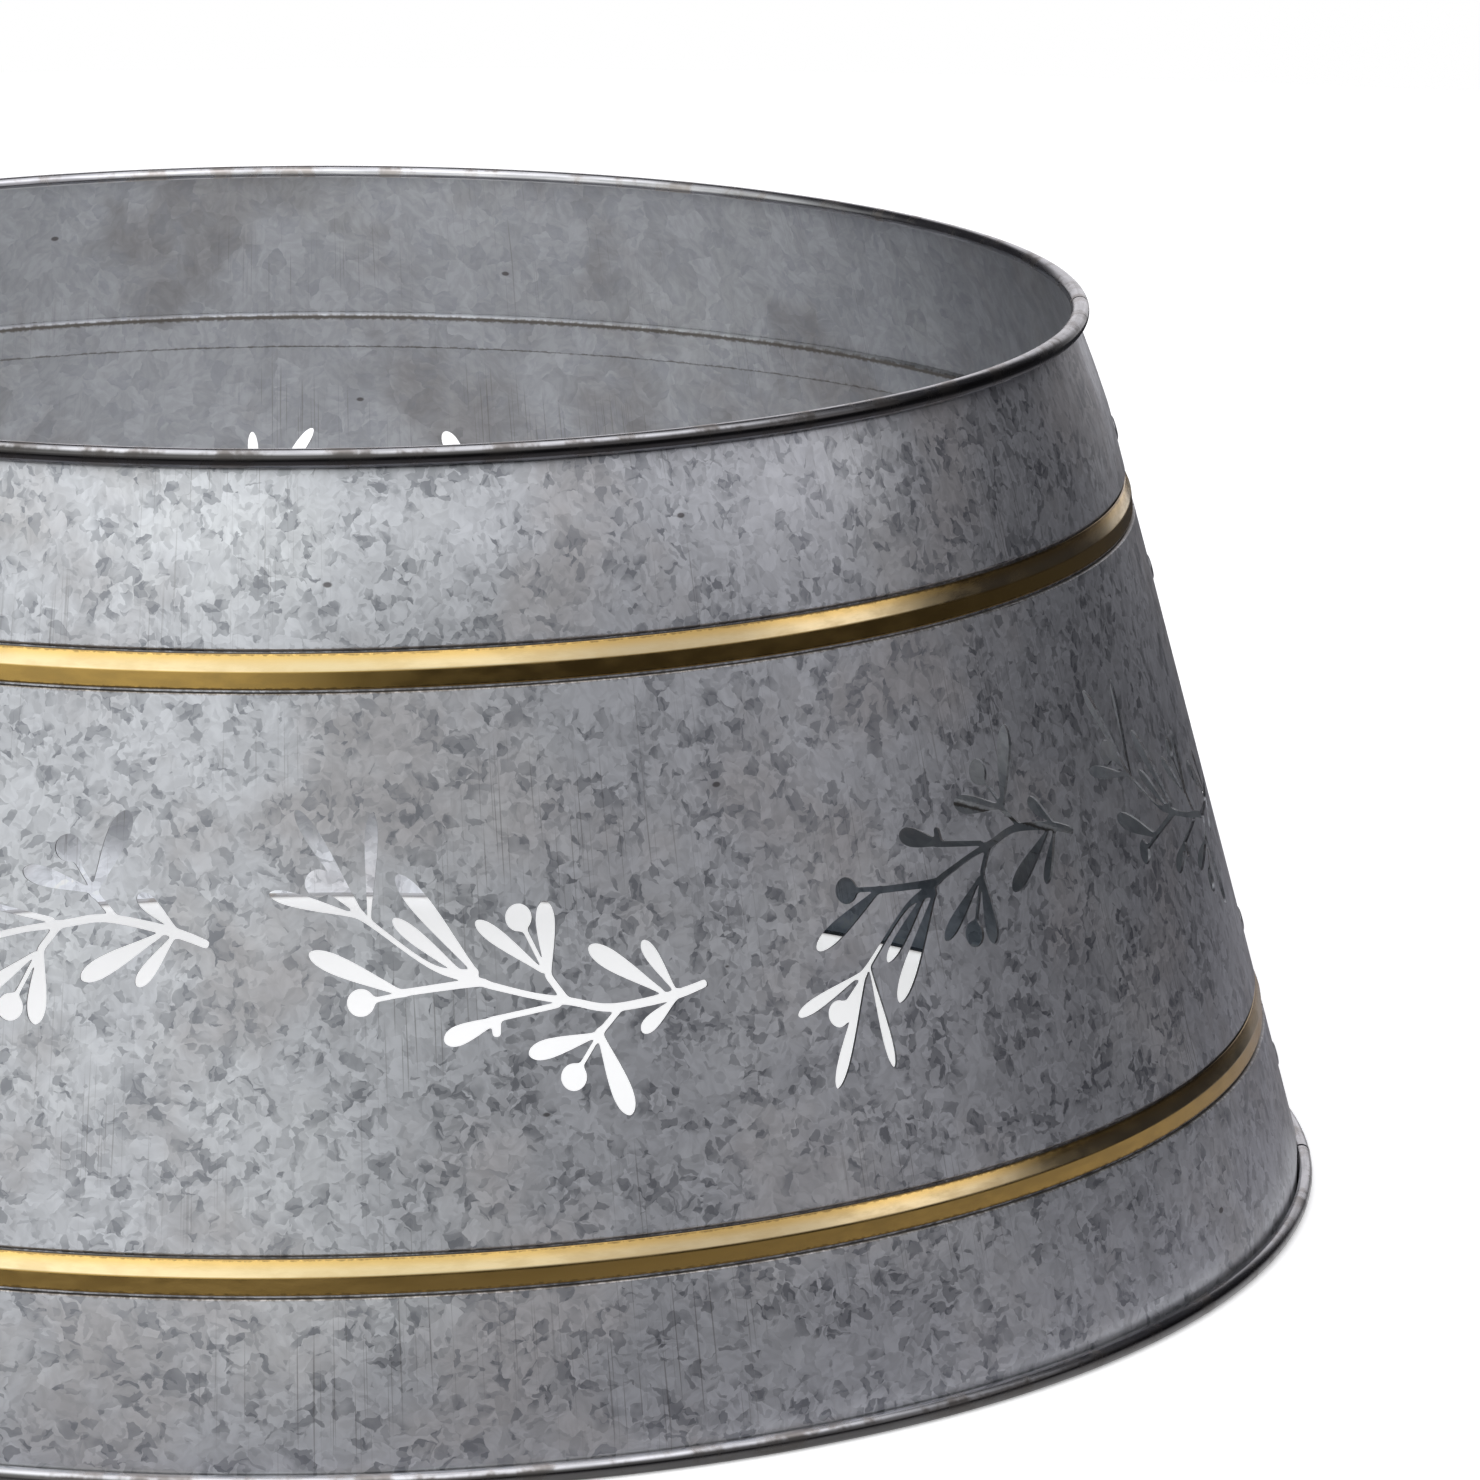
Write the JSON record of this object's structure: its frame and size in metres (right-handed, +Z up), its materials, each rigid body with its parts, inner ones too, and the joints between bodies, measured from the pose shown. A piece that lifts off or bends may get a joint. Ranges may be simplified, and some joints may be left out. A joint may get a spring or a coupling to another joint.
{
  "type": "christmas tree collar",
  "caption": "Round tapered Christmas tree collar of galvanised sheet, with mistletoe sprigs cut through it, gold bands and rolled rims.",
  "frame": {"origin": "centre of the collar on the ground plane, under the middle of the bottom rim", "axes": "+Z up along the collar's axis, towards the smaller rim; -Y out of the front panel, which faces the viewer; +X towards the right seam"},
  "size_m": [0.66, 0.66, 0.2892],
  "materials": {
    "galvanised_sheet": "hot-dip galvanised with a fine spangle",
    "gilt_band": "gilded, satin to bright",
    "rim_wire": "drawn wire, plain",
    "zinc_plated_hardware": "zinc plated, bright"
  },
  "bodies": {
    "root": {"front_panel": "galvanised_sheet", "rear_panel": "galvanised_sheet", "front_lower_band": "gilt_band", "rear_lower_band": "gilt_band", "front_upper_band": "gilt_band", "rear_upper_band": "gilt_band", "front_bottom_rim_wire": "rim_wire", "rear_bottom_rim_wire": "rim_wire", "front_top_rim_wire": "rim_wire", "rear_top_rim_wire": "rim_wire", "right_seam_screw_1": "zinc_plated_hardware", "right_seam_wing_nut_1": "zinc_plated_hardware", "right_seam_screw_2": "zinc_plated_hardware", "right_seam_wing_nut_2": "zinc_plated_hardware", "right_seam_screw_3": "zinc_plated_hardware", "right_seam_wing_nut_3": "zinc_plated_hardware", "right_seam_screw_4": "zinc_plated_hardware", "right_seam_wing_nut_4": "zinc_plated_hardware", "left_seam_screw_1": "zinc_plated_hardware", "left_seam_wing_nut_1": "zinc_plated_hardware", "left_seam_screw_2": "zinc_plated_hardware", "left_seam_wing_nut_2": "zinc_plated_hardware", "left_seam_screw_3": "zinc_plated_hardware", "left_seam_wing_nut_3": "zinc_plated_hardware", "left_seam_screw_4": "zinc_plated_hardware", "left_seam_wing_nut_4": "zinc_plated_hardware"}
  },
  "joints": []
}
